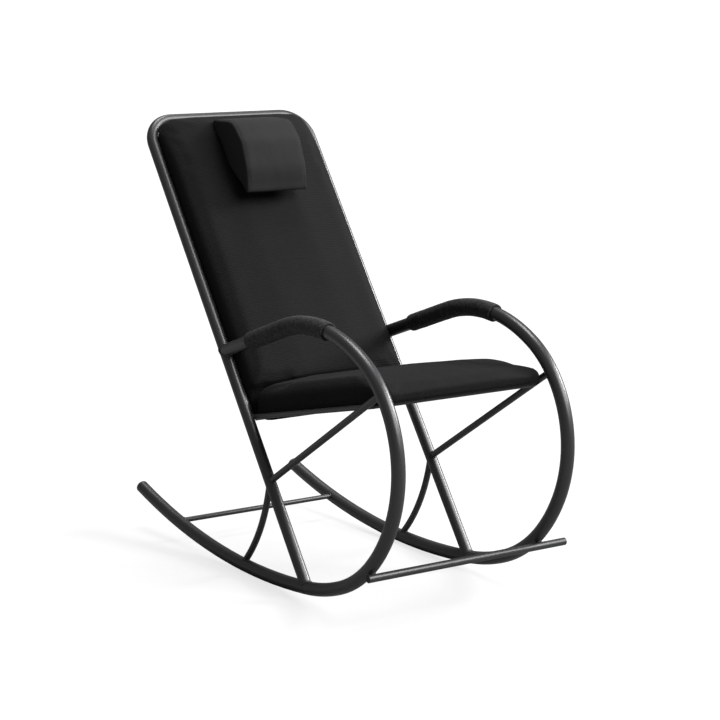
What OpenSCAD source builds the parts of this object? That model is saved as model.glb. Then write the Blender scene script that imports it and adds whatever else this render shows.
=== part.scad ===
// Camp rocking chair: two bent-tube side loops on rockers, an inverted U back frame
// with a padded back and headrest, and a padded seat on rails. Millimetres.
// The chair faces -Y, +Z is up. The origin is on the floor, midway between the rockers,
// at the line where they touch it.

/* [Side loops] */
// Distance between the centrelines of the two side loops
track = 468; // [420:2:560]
// Outside diameter of the loop tube
loop_d = 32; // [28:1:36]
// Wall thickness of the loop tube
loop_wall = 1.6; // [1.2:0.1:2.5]
// Centreline radius of the long rocker arc
rocker_r = 1960; // [1700:10:2400]
// Angle of the rocker arc behind the floor contact
rocker_back = 17.2; // [14:0.1:18]

/* [Back frame] */
// Outside diameter of the back frame tube
upright_d = 28; // [24:1:32]
// Wall thickness of the back frame tube
upright_wall = 1.5; // [1.2:0.1:2.5]
// Angle of the back frame from vertical
recline = 36; // [33:0.5:38]
// Overall height of the chair
chair_h = 1080; // [1000:5:1120]
// Bend radius of the two top corners, to the centreline
corner_r = 72; // [60:2:90]

/* [Braces and bars] */
// Outside diameter of the straight and curved brace tubes
brace_d = 16; // [12:1:18]
// Wall thickness of the brace tubes
brace_wall = 1.2; // [1:0.1:2]
// Radius of the curved brace, to the centreline
brace_r = 430; // [360:10:520]
// Diameter of the rear cross rod between the rockers
rear_rod_d = 13; // [10:1:16]
// Outside diameter of the front foot bar
foot_bar_d = 18; // [16:1:22]
// Length of foot bar that stands out past the left loop
foot_bar_out = 72; // [40:1:100]

/* [Seat] */
// Diameter of the seat rails
rail_d = 12; // [10:1:16]
// Slope of the seat, rising to the front
seat_slope = 12.6; // [10:0.2:15]
// Length of the seat rails along their slope
rail_l = 519; // [480:1:530]
// Length of the seat cushion along its slope
cushion_l = 574; // [540:2:590]
// Width of the seat cushion
seat_w = 428; // [380:1:430]
// Thickness of the seat cushion at its middle
cushion_t = 70; // [60:1:80]

/* [Back and headrest] */
// Width of the back cushion
back_w = 435; // [400:1:436]
// Length of the back cushion along its slope
back_l = 836; // [790:1:836]
// Thickness of the back cushion at its middle
back_t = 80; // [72:1:86]
// Width of the headrest pillow
headrest_w = 174; // [160:2:300]
// Height of the headrest pillow along the back
headrest_h = 217; // [190:1:240]
// Thickness of the headrest pillow
headrest_t = 88; // [60:2:95]

/* [Arm grips] */
// Outside diameter of the foam arm grips
grip_d = 43; // [38:1:48]
// Length of grip behind the arm's last bend
grip_tail = 155; // [40:1:180]

/* [Hidden] */

$fn = 64;
tube_fn = 64;
// Facets round a whole turn of a bend, where its radius is large
bend_fn = 240;
soft_fn = 32;
loop_r = loop_d / 2;
half_track = track / 2;
upright_r = upright_d / 2;

// Bends of the loop in front of the floor contact, as [centreline radius, angle]
bends = [[rocker_r, 6.7], [586, 14.8], [367, 42.6], [295, 16.3], [260, 70.6], [408, 48]];
// Straight end of the arm, which runs into the back frame
arm_l = 280;
// Neighbouring bends lap by this much, and every second one is this much thinner all
// round, so that the laps join inside the wall
lap = 1;
lap_step = 0.05;
deg_per_rad = 180 / PI;

// A place on the loop's centreline: [y, z, heading above the forward horizontal]
function walk(i) = i == 0 ? [0, loop_r, 0] :
    let (p = walk(i - 1), r = bends[i - 1][0], a = bends[i - 1][1])
    [p[0] - r * (sin(p[2] + a) - sin(p[2])), p[1] + r * (cos(p[2]) - cos(p[2] + a)), p[2] + a];

// The back frame's centreline passes through this height at this distance behind the contact
upright_z = 400;
upright_y = 38.6;
function upright_at(z) = upright_y + tan(recline) * (z - upright_z);
top_s = (chair_h - upright_r - upright_z) / cos(recline);
foot_y = -230.3;
foot_z = 29.6;
foot_slope = 6.8;
foot_s = (foot_z - upright_z) / cos(recline);

// Ends of the diagonal brace: low on the back frame, high on the loop
diagonal_low = [-70, 250];
diagonal_high = [-536, 540];
diagonal_l = norm(diagonal_high - diagonal_low);
diagonal_rise = atan2(diagonal_high[1] - diagonal_low[1], diagonal_low[0] - diagonal_high[0]);

// Foot of the curved brace on the rocker, its heading there above horizontal, and its turn
curved_foot = [54, 24];
curved_rise = 44;
curved_turn = 34;

// Place of the front end of the arm grips, as an angle round the arm's last bend
grip_from = 21;

rear_rod_y = 374;
rear_rod_z = 56;
foot_bar_y = -507.3;
foot_bar_z = 121.1;
foot_bar_start = -half_track - 16;
foot_bar_end = half_track + foot_bar_out;

// Rear end of the seat rails on the back frame
rail_z = 387;
rail_y = upright_at(rail_z);
rail_x = half_track - 14;
rail_r = rail_d / 2;

board_t = 9;
cloth_t = 2;
fit_gap = 0.3;
// Corner radii of the cushions' sections: at the hem, along the crown and down the sides
hem_r = 8;
crown_r = 20;
side_soft_r = 26;
// Height of a cushion's sides, and half-width of its flat crown, as shares of its size
side_share = 0.86;
crown_share = 0.18;

cushion_bottom = rail_r + 0.5;
rear_soft_r = 40;
front_soft_r = 18;
// The seat's thigh roll: its place along the cushion as a share, its radius and its height
seat_crown_share = 0.45;
thigh_share = 0.69;
thigh_r = 28;
thigh_h = 65;
// The seat's plywood stops short of the cushion's front and rear
seat_board_front = 44;
seat_board_rear = 16;
board_side = 8;
board_play = 0.2;

// Depth of the back cushion's rear face behind the frame's centreline, and its lower end
back_rear = 12;
back_bottom_s = -30;
back_corner_r = 62;
back_top_r = 34;
// Room for the seat cushion's rear end: [distance up from the lower end, height off the rear face]
seat_notch = [[-10, 16], [30, 21], [60, 32], [72, 42], [72, 94], [-10, 94]];

// Headrest section, as [distance up from its lower edge, height off the back, radius]
headrest_bottom_s = 553;
headrest_skin = 0.6;
headrest_lower = [[-9, 37, 7], [43, 45, 27], [headrest_h * 0.48, headrest_t - 40, 40]];
headrest_upper = [[headrest_h - 67, headrest_t - 42, 34], [headrest_h - 12, 12, 10]];
headrest_seat = [headrest_h * 0.42, 7, 7];

tab_w = 20;
tab_l = 40;
tab_t = 2.5;
screw_r = 2.5;
screw_head_r = 5;
screw_head_t = 2.4;
screw_l = 11;
seat_tab_v = [90, 430];
back_tab_s = [60, 390, 720];

frame_colour = [0.16, 0.16, 0.17];
cloth_colour = [0.05, 0.05, 0.055];
foam_colour = [0.85, 0.82, 0.70];
board_colour = [0.62, 0.48, 0.32];
plastic_colour = [0.06, 0.06, 0.06];

// Frames of reference -----------------------------------------------------------------

// Seat frame: origin at the rear end of the rails, -Y along them to the front, +Z square to them
module on_seat() translate([0, rail_y, rail_z]) rotate([-seat_slope, 0, 0]) children();

// Back frame: +Z up the slope of the back, -Y out of its front
module on_back() translate([0, upright_y, upright_z]) rotate([-recline, 0, 0]) children();

// Side loop frame at a place on its centreline, -Y along the tube
module on_loop(i, side) {
    p = walk(i);
    translate([side * half_track, p[0], p[1]]) rotate([-p[2], 0, 0]) children();
}

// Tubes ---------------------------------------------------------------------------------

// A tube's section, or a rod's where the inner radius is 0
module ring(outer, inner) {
    if (inner == 0)
        circle(r = outer, $fn = tube_fn);
    else difference() {
        circle(r = outer, $fn = tube_fn);
        circle(r = inner, $fn = tube_fn);
    }
}

// A bend that starts at the origin heading along -Y and curls up, from one angle to another
module bend(r, from, to, outer, inner) {
    translate([0, 0, r])
        rotate([0, 90, 0])
            rotate([0, 0, -to])
                rotate_extrude(angle = to - from, $fn = bend_fn)
                    translate([r, 0]) ring(outer, inner);
}

module rod(d, l) cylinder(d = d, h = l);

module tube(outer, wall, l) linear_extrude(l) ring(outer, outer - wall);

module side_loop(side) {
    difference() {
        union() {
            for (i = [0:len(bends) - 1]) {
                thin = i % 2 * lap_step;
                over = i % 2 * lap / bends[i][0] * deg_per_rad;
                from = i == 0 ? -rocker_back : -over;
                on_loop(i, side)
                    bend(bends[i][0], from, bends[i][1] + over, loop_r - thin, loop_r - loop_wall + thin);
            }
            on_loop(len(bends), side)
                rotate([90, 0, 0]) tube(loop_r, loop_wall, arm_l);
        }
        // The arm is coped to this stretch of the back frame's leg
        on_back() translate([side * half_track, 0, 60]) cylinder(r = upright_r, h = 220);
    }
}

module side_loop_right() color(frame_colour) side_loop(-1);
module side_loop_left() color(frame_colour) side_loop(1);

module back_leg(side, outer, inner) {
    translate([side * half_track, 0, foot_s])
        linear_extrude(top_s - corner_r - foot_s) ring(outer, inner);
}

module back_corner(side, outer, inner) {
    over = lap / corner_r * deg_per_rad;
    translate([side * (half_track - corner_r), 0, top_s - corner_r])
        rotate([90, 0, 0])
            rotate([0, 0, side > 0 ? -over : 90 - over])
                rotate_extrude(angle = 90 + 2 * over)
                    translate([corner_r, 0]) ring(outer, inner);
}

module back_frame() color(frame_colour) {
    inner = upright_r - upright_wall;
    difference() {
        on_back() {
            for (side = [-1, 1]) {
                back_leg(side, upright_r, inner);
                back_corner(side, upright_r - lap_step, inner + lap_step);
            }
            translate([-half_track + corner_r, 0, top_s])
                rotate([0, 90, 0]) tube(upright_r, upright_wall, track - 2 * corner_r);
        }
        for (side = [-1, 1])
            translate([side * half_track, foot_y, foot_z])
                rotate([90 - foot_slope, 0, 0]) cylinder(r = loop_r, h = 120, center = true);
    }
}

// Braces and bars ----------------------------------------------------------------------

// The solid inside of one leg of the back frame, which other tubes are coped to
module leg_core(side) {
    on_back() translate([side * half_track, 0, foot_s]) cylinder(r = upright_r, h = top_s - foot_s);
}

module diagonal_brace(side) {
    difference() {
        translate([side * half_track, diagonal_low[0], diagonal_low[1]])
            rotate([90 - diagonal_rise, 0, 0]) tube(brace_d / 2, brace_wall, diagonal_l);
        leg_core(side);
        on_loop(4, side) loop_core(4);
    }
}

// The solid inside of one bend of the loop, which a brace is coped to
module loop_core(i) {
    bend(bends[i][0], 0, bends[i][1], loop_r, 0);
}

module diagonal_brace_right() color(frame_colour) diagonal_brace(-1);
module diagonal_brace_left() color(frame_colour) diagonal_brace(1);

module curved_brace(side) {
    difference() {
        translate([side * half_track, curved_foot[0], curved_foot[1]])
            rotate([-curved_rise, 0, 0])
                bend(brace_r, 0, curved_turn, brace_d / 2, brace_d / 2 - brace_wall);
        leg_core(side);
        on_loop(0, side) bend(rocker_r, -rocker_back, bends[0][1], loop_r, 0);
    }
}

module curved_brace_right() color(frame_colour) curved_brace(-1);
module curved_brace_left() color(frame_colour) curved_brace(1);

module rear_cross_rod() color(frame_colour) {
    l = track - loop_d - 0.4;
    translate([-l / 2, rear_rod_y, rear_rod_z]) rotate([0, 90, 0]) rod(rear_rod_d, l);
}

module front_foot_bar() color(frame_colour) {
    translate([foot_bar_start, foot_bar_y, foot_bar_z]) rotate([0, 90, 0])
        tube(foot_bar_d / 2, brace_wall, foot_bar_end - foot_bar_start);
}

module foot_bar_caps() color(plastic_colour) {
    for (x = [foot_bar_start, foot_bar_end])
        translate([x, foot_bar_y, foot_bar_z])
            mirror([x < 0 ? 1 : 0, 0, 0]) rotate([0, 90, 0])
                end_cap(foot_bar_d / 2, foot_bar_d / 2 - brace_wall);
}

// A domed plug: its crown stands out along +Z and its stem goes down the tube
module end_cap(outer, inner) {
    crown = 4;
    stem = 14;
    dome_r = (outer * outer + crown * crown) / (2 * crown);
    intersection() {
        cylinder(r = outer, h = crown);
        translate([0, 0, crown - dome_r]) sphere(r = dome_r);
    }
    translate([0, 0, -stem]) cylinder(r = inner - 0.1, h = stem + 0.5);
}

module rocker_end_caps() color(plastic_colour) {
    for (side = [-1, 1])
        translate([side * half_track, 0, loop_r + rocker_r]) rotate([rocker_back, 0, 0])
            translate([0, 0, -rocker_r]) rotate([-90, 0, 0]) end_cap(loop_r, loop_r - loop_wall);
}

// Seat ---------------------------------------------------------------------------------

module seat_rail(side) {
    difference() {
        on_seat() translate([side * rail_x, 0, 0]) rotate([90, 0, 0]) rod(rail_d, rail_l + rail_r);
        leg_core(side);
        translate([side * half_track, diagonal_low[0], diagonal_low[1]])
            rotate([90 - diagonal_rise, 0, 0]) rod(brace_d, diagonal_l);
    }
}

module seat_rail_right() color(frame_colour) seat_rail(-1);
module seat_rail_left() color(frame_colour) seat_rail(1);

module seat_front_rail() color(frame_colour) {
    l = 2 * rail_x - rail_d - 0.2;
    on_seat() translate([-l / 2, -rail_l, 0]) rotate([0, 90, 0]) rod(rail_d, l);
}

module seat_rear_rail() color(frame_colour) {
    l = 2 * rail_x - rail_d - 0.2;
    translate([-l / 2, rail_y, rail_z]) rotate([0, 90, 0]) rod(rail_d, l);
}

// A flat steel tab with a screw hole, flush with +Z and reaching along +X from the origin
module tab() {
    difference() {
        translate([0, -tab_w / 2, -tab_t]) cube([tab_l, tab_w, tab_t]);
        translate([tab_l - 9, 0, -tab_t - 1]) cylinder(r = screw_r + 0.3, h = tab_t + 2);
    }
}

// A pan-head screw that points up +Z, its head under the origin
module screw() {
    translate([0, 0, -screw_head_t]) cylinder(r = screw_head_r, h = screw_head_t);
    cylinder(r = screw_r, h = screw_l);
}

module at_seat_tabs() {
    for (side = [-1, 1], v = seat_tab_v)
        on_seat() translate([side * (rail_x - rail_r + 1), -v, cushion_bottom - fit_gap])
            mirror([side > 0 ? 1 : 0, 0, 0]) children();
}

module seat_tabs() color(frame_colour) at_seat_tabs() tab();

module seat_screws() color("silver")
    at_seat_tabs() translate([tab_l - 9, 0, -tab_t - 0.1]) screw();

// Cross-section of a cushion, flat below and crowned above, centred on X
module pad_section(w, t, inset) {
    hull() for (side = [-1, 1]) {
        translate([side * (w / 2 - hem_r), hem_r]) circle(r = hem_r - inset, $fn = soft_fn);
        translate([side * (w / 2 - side_soft_r), t * side_share - side_soft_r])
            circle(r = side_soft_r - inset, $fn = soft_fn);
        translate([side * w * crown_share, t - crown_r]) circle(r = crown_r - inset, $fn = soft_fn);
    }
}

// Outline of the seat cushion from the side, shrunk by an inset: X is forward, Y is up
module seat_outline(inset) {
    hull() {
        translate([hem_r + 4, hem_r]) circle(r = hem_r - inset, $fn = soft_fn);
        translate([rear_soft_r + 6, cushion_t - rear_soft_r])
            circle(r = rear_soft_r - inset, $fn = soft_fn);
        translate([cushion_l * seat_crown_share, cushion_t - crown_r])
            circle(r = crown_r - inset, $fn = soft_fn);
        translate([cushion_l * thigh_share, thigh_h - thigh_r])
            circle(r = thigh_r - inset, $fn = soft_fn);
        translate([cushion_l - front_soft_r, front_soft_r + 1])
            circle(r = front_soft_r - inset, $fn = soft_fn);
        translate([cushion_l - seat_board_front + 8, hem_r])
            circle(r = hem_r - inset, $fn = soft_fn);
    }
}

module seat_block(inset) {
    on_seat() translate([0, 0, cushion_bottom]) intersection() {
        rotate([90, 0, -90]) translate([0, 0, -seat_w / 2 + inset])
            linear_extrude(seat_w - 2 * inset) seat_outline(inset);
        rotate([90, 0, 0]) linear_extrude(cushion_l) pad_section(seat_w, cushion_t, inset);
    }
}

// The space for the seat's plywood, or the plywood itself where play is taken off all round
module seat_panel(play) {
    w = seat_w - 2 * board_side - 2 * play;
    l = cushion_l - seat_board_front - seat_board_rear - 2 * play;
    on_seat() translate([-w / 2, -cushion_l + seat_board_front + play, cushion_bottom])
        cube([w, l, board_t - play]);
}

module seat_board() color(board_colour) {
    difference() {
        seat_panel(board_play);
        at_seat_tabs() translate([tab_l - 9, 0, 0]) cylinder(r = screw_r, h = screw_l);
    }
}

module seat_foam() color(foam_colour) difference() {
    seat_block(cloth_t + fit_gap);
    seat_panel(0);
}

module seat_cover() color(cloth_colour) difference() {
    seat_block(0);
    seat_block(cloth_t);
    seat_panel(0);
}

// Back ---------------------------------------------------------------------------------

// The back cushion lies on its rear face: X across, Y up the back, Z out of its front
module on_back_pad() on_back() translate([0, back_rear, back_bottom_s]) rotate([90, 0, 0]) children();

// Outline of the back cushion from the side, shrunk by an inset: X is up the back, Y is forward.
// Its lower front corner is cut away where the seat cushion's rear end lies.
module back_outline(inset) {
    difference() {
        hull() {
            translate([hem_r + 2, hem_r]) circle(r = hem_r - inset, $fn = soft_fn);
            for (along = [side_soft_r, back_l / 2])
                translate([along, back_t - side_soft_r])
                    circle(r = side_soft_r - inset, $fn = soft_fn);
            translate([back_l - back_top_r, back_t - back_top_r - 2])
                circle(r = back_top_r - inset, $fn = soft_fn);
            translate([back_l - hem_r, hem_r]) circle(r = hem_r - inset, $fn = soft_fn);
        }
        translate([inset, -inset]) polygon(seat_notch);
    }
}

// Outline of the back cushion from the front, shrunk by an inset: its top corners follow
// the bends of the frame
module back_plan(inset) {
    w = back_w - 2 * inset;
    r = back_corner_r - inset;
    translate([-w / 2, inset]) square([w, back_l - back_corner_r - inset]);
    translate([-w / 2 + r, inset]) square([w - 2 * r, back_l - 2 * inset]);
    for (side = [-1, 1])
        translate([side * (w / 2 - r), back_l - back_corner_r]) circle(r = r);
}

module back_block(inset) {
    on_back_pad() intersection() {
        rotate([90, 0, 90]) translate([0, 0, -back_w / 2 + inset])
            linear_extrude(back_w - 2 * inset) back_outline(inset);
        translate([0, back_l, 0]) rotate([90, 0, 0])
            linear_extrude(back_l) pad_section(back_w, back_t, inset);
        linear_extrude(back_t) back_plan(inset);
    }
}

// The space for the back's plywood, or the plywood itself where play is taken off all round
module back_panel(play) {
    on_back_pad() linear_extrude(board_t - play) back_plan(board_side + play);
}

module back_board() color(board_colour) difference() {
    back_panel(board_play);
    at_back_tabs() translate([tab_l - 9, 0, 0]) cylinder(r = screw_r, h = screw_l);
}

module back_foam() color(foam_colour) difference() {
    back_block(cloth_t + fit_gap);
    back_panel(0);
}

module back_cover() color(cloth_colour) difference() {
    back_block(0);
    back_block(cloth_t);
    back_panel(0);
}

module at_back_tabs() {
    for (side = [-1, 1], s = back_tab_s)
        on_back_pad() translate([side * (half_track - 4), s - back_bottom_s, -fit_gap])
            mirror([side > 0 ? 1 : 0, 0, 0]) children();
}

module back_tabs() color(frame_colour) at_back_tabs() tab();

module back_screws() color("silver")
    at_back_tabs() translate([tab_l - 9, 0, -tab_t - 0.1]) screw();

// Headrest: a pillow that is full over most of its height and thin along its top edge
module headrest_section(inset) {
    hull()
        for (c = concat(headrest_lower, headrest_upper, [headrest_seat]))
            translate([c[0], c[1]]) circle(r = c[2] - inset, $fn = soft_fn);
}

module headrest_block(inset) {
    on_back_pad() translate([0, headrest_bottom_s - back_bottom_s, back_t + headrest_skin])
        rotate([90, 0, 90]) translate([0, 0, -headrest_w / 2 + inset])
            linear_extrude(headrest_w - 2 * inset) headrest_section(inset);
}

module headrest_foam() color(foam_colour) headrest_block(cloth_t + fit_gap);

module headrest_cover() color(cloth_colour) difference() {
    headrest_block(0);
    headrest_block(cloth_t);
}

// Arm grips: foam sleeves over the arm's last bend and part of its straight end ----------

module arm_grip(side) {
    last = len(bends) - 1;
    clear_r = loop_r + 0.2;
    on_loop(last, side) bend(bends[last][0], grip_from, bends[last][1], grip_d / 2, clear_r);
    on_loop(last + 1, side) rotate([90, 0, 0]) translate([0, 0, -lap])
        linear_extrude(grip_tail + lap) ring(grip_d / 2 - lap_step, clear_r + lap_step);
}

module arm_grip_right() color(plastic_colour) arm_grip(-1);
module arm_grip_left() color(plastic_colour) arm_grip(1);

side_loop_right();
side_loop_left();
back_frame();
diagonal_brace_right();
diagonal_brace_left();
curved_brace_right();
curved_brace_left();
rear_cross_rod();
front_foot_bar();
foot_bar_caps();
rocker_end_caps();
seat_rail_right();
seat_rail_left();
seat_front_rail();
seat_rear_rail();
arm_grip_right();
arm_grip_left();
seat_tabs();
seat_screws();
seat_board();
seat_foam();
seat_cover();
back_tabs();
back_screws();
back_board();
back_foam();
back_cover();
headrest_foam();
headrest_cover();
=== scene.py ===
"""Finishes and upholstery for the camp rocking chair: a welded tube frame with a powder
coat, foam arm grips, and a seat, back and headrest padded on plywood. Metres."""

import math
import random

import bmesh
import bpy
import numpy as np
from mathutils import Matrix, Vector, noise
from mathutils.bvhtree import BVHTree


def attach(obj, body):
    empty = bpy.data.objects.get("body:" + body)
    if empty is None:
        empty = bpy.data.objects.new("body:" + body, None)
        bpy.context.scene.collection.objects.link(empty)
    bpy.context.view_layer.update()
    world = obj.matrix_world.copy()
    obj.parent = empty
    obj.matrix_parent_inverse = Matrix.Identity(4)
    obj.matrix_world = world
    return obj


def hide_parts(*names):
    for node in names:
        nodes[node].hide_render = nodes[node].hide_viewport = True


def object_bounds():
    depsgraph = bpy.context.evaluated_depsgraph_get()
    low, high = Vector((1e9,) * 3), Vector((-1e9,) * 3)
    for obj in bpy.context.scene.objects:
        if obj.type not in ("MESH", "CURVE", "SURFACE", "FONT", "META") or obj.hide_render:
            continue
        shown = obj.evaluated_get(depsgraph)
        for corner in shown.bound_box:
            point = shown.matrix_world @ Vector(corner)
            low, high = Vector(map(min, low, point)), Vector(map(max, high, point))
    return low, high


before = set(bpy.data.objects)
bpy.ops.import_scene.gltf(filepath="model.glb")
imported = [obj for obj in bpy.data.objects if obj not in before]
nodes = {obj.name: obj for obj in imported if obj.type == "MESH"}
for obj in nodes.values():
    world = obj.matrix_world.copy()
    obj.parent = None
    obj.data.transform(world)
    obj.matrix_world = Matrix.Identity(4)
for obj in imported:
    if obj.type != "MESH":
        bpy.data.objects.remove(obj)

bl_info = {
    "name": "Camp rocking chair",
    "version": (1, 0, 0),
    "blender": (4, 5, 0),
    "location": "3D View > Sidebar > Chair",
    "description": "Finishes and upholstery for a rocking chair on a bent-tube frame",
    "category": "Add Mesh",
}

cad_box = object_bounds()

# The frame --------------------------------------

HALF_TRACK = 0.234
LOOP_R = 0.016
UPRIGHT_R = 0.014
BRACE_R = 0.008
RAIL_R = 0.006
ROD_R = 0.0065

# Places on the frame's side view, as (y, z)
FOOT_BAR = (-0.5073, 0.1211)
REAR_ROD = (0.374, 0.056)
BRACE_FRONT = (-0.070, 0.250)
BRACE_REAR = (-0.300, 0.393)
BRACE_RISE = Vector((0, -0.466, 0.290))

# Bends of a side loop ahead of the floor contact, as (centreline radius, degrees)
BENDS = ((1.960, 6.7), (0.586, 14.8), (0.367, 42.6), (0.295, 16.3), (0.260, 70.6), (0.408, 48))

RECLINE = math.radians(36)
SEAT_SLOPE = math.radians(12.6)
UPRIGHT_Y = 0.0386
UPRIGHT_Z = 0.400
RAIL_Z = 0.387
RAIL_Y = UPRIGHT_Y + math.tan(RECLINE) * (RAIL_Z - UPRIGHT_Z)
CUSHION_BOTTOM = 0.0065
BACK_REAR = 0.012
BACK_BOTTOM = -0.030
BACK_CORNER_R = 0.062
FRAME_CORNER_R = 0.072
RAIL_INSET = 0.014

BACK = Matrix.Translation((0, UPRIGHT_Y, UPRIGHT_Z)) @ Matrix.Rotation(-RECLINE, 4, "X")
SEAT = Matrix.Translation((0, RAIL_Y, RAIL_Z)) @ Matrix.Rotation(-SEAT_SLOPE, 4, "X")

# A cushion's own axes: X across it, Y along it, Z out of its upholstered face. Y runs
# forward on the seat and up the back.
SEAT_PAD = SEAT @ Matrix.Translation((0, 0, CUSHION_BOTTOM)) @ Matrix.Rotation(math.pi, 4, "Z")
BACK_PAD = (
    BACK @ Matrix.Translation((0, BACK_REAR, BACK_BOTTOM)) @ Matrix.Rotation(math.pi / 2, 4, "X"))

# Centreline of the back frame's side and top tubes on the back cushion's own X and Y
FRAME_TOP = (cad_box[1][2] - UPRIGHT_R - UPRIGHT_Z) / math.cos(RECLINE) - BACK_BOTTOM
FRAME_REACH = (HALF_TRACK, FRAME_TOP)

# The back cushion stays below the line Y + slope * Z = level, on its own axes
TOP_LINE_SLOPE = 0.433
TOP_LINE_LEVEL = 0.859

# How high the seams run on the seat's and the back's own Z, and how they draw the cloth in
SEAT_SEAM = 0.008
BACK_SEAM = 0.009
SEAM_WIDTH = 0.0030
SEAM_DEPTH = 0.0010
STITCH_GAP = 0.0016
THREAD_LIFT = 0.0002
THREAD_COLOUR = (0.006, 0.006, 0.0065, 1)

# The covers' edges, turned over their boards
HEM_WIDTH = 0.030
HEM_PAST_BOARD = 0.004
HEM_THICK = 0.0008
HEM_UNDERSIDE = -0.0013
BACK_HEM_CORNER = 0.050
STAPLE = (0.0105, 0.0012, 0.0007)
STAPLE_APART = 0.045

# Layers of unevenness, each as its scale along each axis, a seed and a height
SEAT_STREAKS = (((34, 2.2, 20), 3.7, 0.0006), ((70, 5, 40), 9.1, 0.0003))
BACK_LUMPS = (((7, 5, 10), 1.3, 0.0008), ((30, 9, 20), 5.2, 0.0002))
PILLOW_TUCKS = (((30, 12, 24), 2.4, 0.0005), ((70, 40, 60), 5.1, 0.0002))
GRIP_LUMPS = (((40, 40, 40), 6.1, 0.0004), ((160, 160, 160), 8.3, 0.00018))

# Each sun's name, where it stands and how wide it is in degrees. The names are settings.
SUNS = (
    ("key", (0.43, -0.70, 0.66), 40),
    ("side", (0.94, -0.22, 0.50), 20),
    ("top", (0.20, 0.25, 1.00), 25),
)
CAMERA_AT = (-2.6787, -4.1016, 1.4171)
CAMERA_TOWARDS = (0.5498, 0.8152, -0.1821)
CAMERA_LENS = 102.43
CAMERA_SHIFT = (-0.0088, -0.0015)

TUBES = (
    "side_loop_right", "side_loop_left", "back_frame",
    "diagonal_brace_right", "diagonal_brace_left", "curved_brace_right", "curved_brace_left",
    "rear_cross_rod", "front_foot_bar",
    "seat_rail_right", "seat_rail_left", "seat_front_rail", "seat_rear_rail",
    "seat_tabs", "back_tabs",
)


def loop_place(bend, share):
    """A place on a side loop's centreline and its direction there, as (y, z) pairs."""
    y, z, heading = 0.0, LOOP_R, 0.0
    for i in range(bend + 1):
        radius, angle = BENDS[i]
        turn = math.radians(angle) * (share if i == bend else 1)
        y -= radius * (math.sin(heading + turn) - math.sin(heading))
        z += radius * (math.cos(heading) - math.cos(heading + turn))
        heading += turn
    return (y, z), (-math.cos(heading), math.sin(heading))


# Settings ---------------------------------------


def colour_prop(name, description, default):
    return bpy.props.FloatVectorProperty(
        name=name, description=description, subtype="COLOR", size=4, min=0, max=1,
        default=default)


def number_prop(name, description, low, high, default, unit="NONE"):
    return bpy.props.FloatProperty(
        name=name, description=description, min=low, max=high, default=default, unit=unit)


class FrameSettings(bpy.types.PropertyGroup):
    """Paint and welds of the tube frame."""

    paint: colour_prop("Paint", "Colour of the powder coat", (0.026, 0.0265, 0.028, 1))
    roughness: number_prop("Roughness", "How satin the powder coat is", 0.1, 0.9, 0.36)
    bead: number_prop("Weld bead", "Radius of the weld beads", 0.0005, 0.004, 0.0021, "LENGTH")


class GripSettings(bpy.types.PropertyGroup):
    """Foam sleeves on the arms."""

    colour: colour_prop("Foam", "Colour of the arm grips", (0.0125, 0.0125, 0.0128, 1))
    pore: number_prop(
        "Pore", "Size of the pores in the foam's skin", 0.0005, 0.004, 0.0016, "LENGTH")


class CushionSettings(bpy.types.PropertyGroup):
    """Cloth and stuffing of the cushions."""

    cloth: colour_prop("Cloth", "Colour of the seat and back cloth", (0.0060, 0.0060, 0.0063, 1))
    pillow: colour_prop(
        "Headrest cloth", "Colour of the headrest's smoother cloth", (0.0205, 0.0205, 0.0210, 1))
    rib: number_prop("Rib", "Distance between the cloth's ribs", 0.001, 0.008, 0.0050, "LENGTH")
    swell: number_prop(
        "Swell", "How far the stuffing may push the cover out", 0.0, 0.02, 0.005, "LENGTH")
    stitch: number_prop("Stitch", "Length of one stitch", 0.002, 0.008, 0.0042, "LENGTH")


class StageSettings(bpy.types.PropertyGroup):
    """Floor, backdrop and lights."""

    floor: colour_prop("Floor", "Colour of the floor", (0.22, 0.22, 0.22, 1))
    glow: colour_prop(
        "Table light", "Light that the floor sends to the camera by itself",
        (0.76, 0.76, 0.76, 1))
    key: number_prop("Key", "Strength of the main light", 0, 20, 3.0)
    side: number_prop("Side", "Strength of the light from the side", 0, 20, 3.0)
    top: number_prop("Top", "Strength of the light from overhead", 0, 20, 1.5)
    sky: number_prop("Surround", "Light that comes from all round", 0, 3, 0.18)


# Shader maths -----------------------------------


class Value:
    """A number that varies over a surface. Arithmetic on it adds Math nodes."""

    def __init__(self, finish, socket):
        self.finish = finish
        self.socket = socket

    def __add__(self, other):
        return self.finish.maths("ADD", self, other)

    def __sub__(self, other):
        return self.finish.maths("SUBTRACT", self, other)

    def __rsub__(self, other):
        return self.finish.maths("SUBTRACT", other, self)

    def __mul__(self, other):
        return self.finish.maths("MULTIPLY", self, other)

    def __truediv__(self, other):
        return self.finish.maths("DIVIDE", self, other)

    __radd__ = __add__
    __rmul__ = __mul__

    def sine(self):
        return self.finish.maths("SINE", self)

    def floor(self):
        return self.finish.maths("FLOOR", self)

    def above(self, level):
        """What of it stands above a level, and 0 below."""
        return self.finish.maths("MAXIMUM", self - level, 0.0)


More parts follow.
